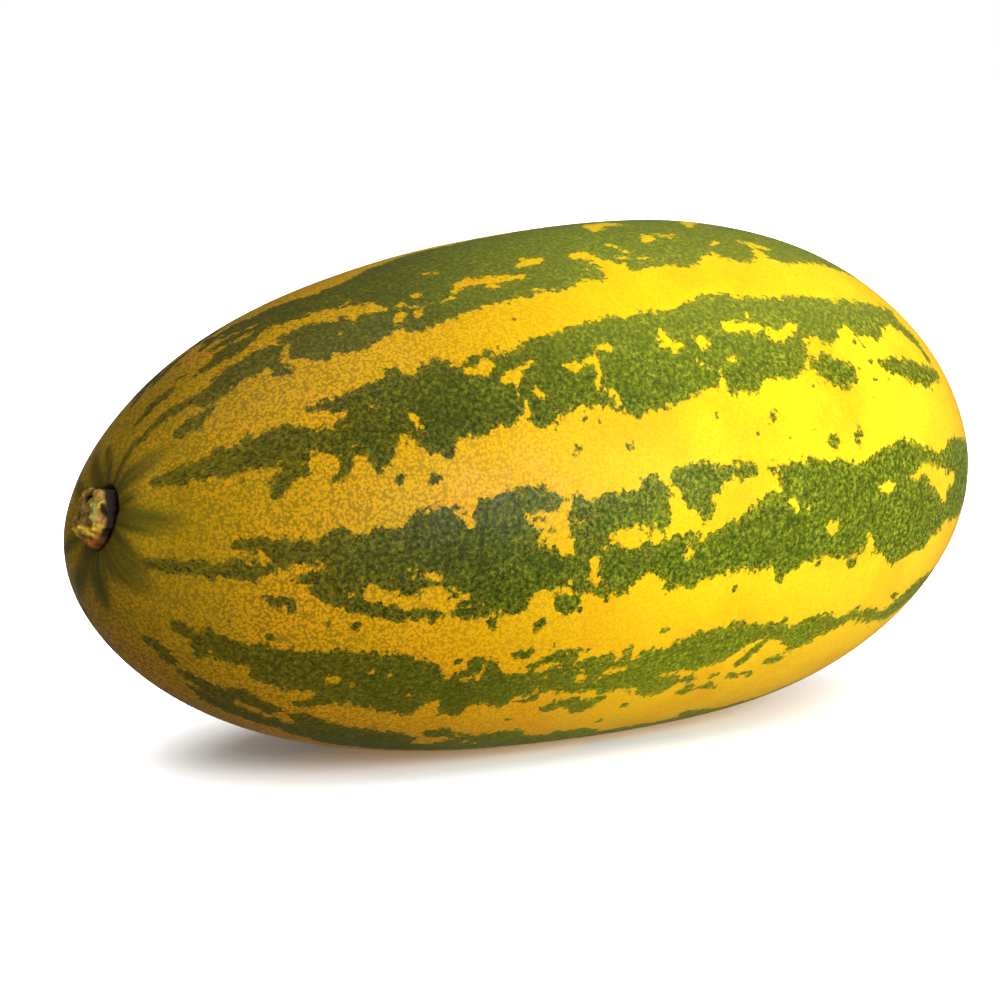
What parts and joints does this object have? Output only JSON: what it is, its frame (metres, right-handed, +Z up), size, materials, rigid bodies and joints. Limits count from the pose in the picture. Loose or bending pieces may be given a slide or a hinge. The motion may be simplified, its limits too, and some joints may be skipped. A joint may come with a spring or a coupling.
{
  "type": "cucumber",
  "caption": "Egg-shaped ripe yellow cucumber with broken green stripes, lying on its belly, with a dried stub of its stalk at one end.",
  "frame": {"origin": "middle of the bounding box's underside, on the surface that the fruit lies on", "axes": "+X from the stem end to the blossom end, +Z up"},
  "size_m": [0.2004, 0.1002, 0.1],
  "materials": {
    "skin": "waxy satin rind, ripe yellow with ragged dark green stripes and fine light speckle",
    "dry_stalk": "dry, corky, cracked"
  },
  "bodies": {
    "root": {"fruit": "skin", "stem_stub": "dry_stalk"}
  },
  "joints": []
}
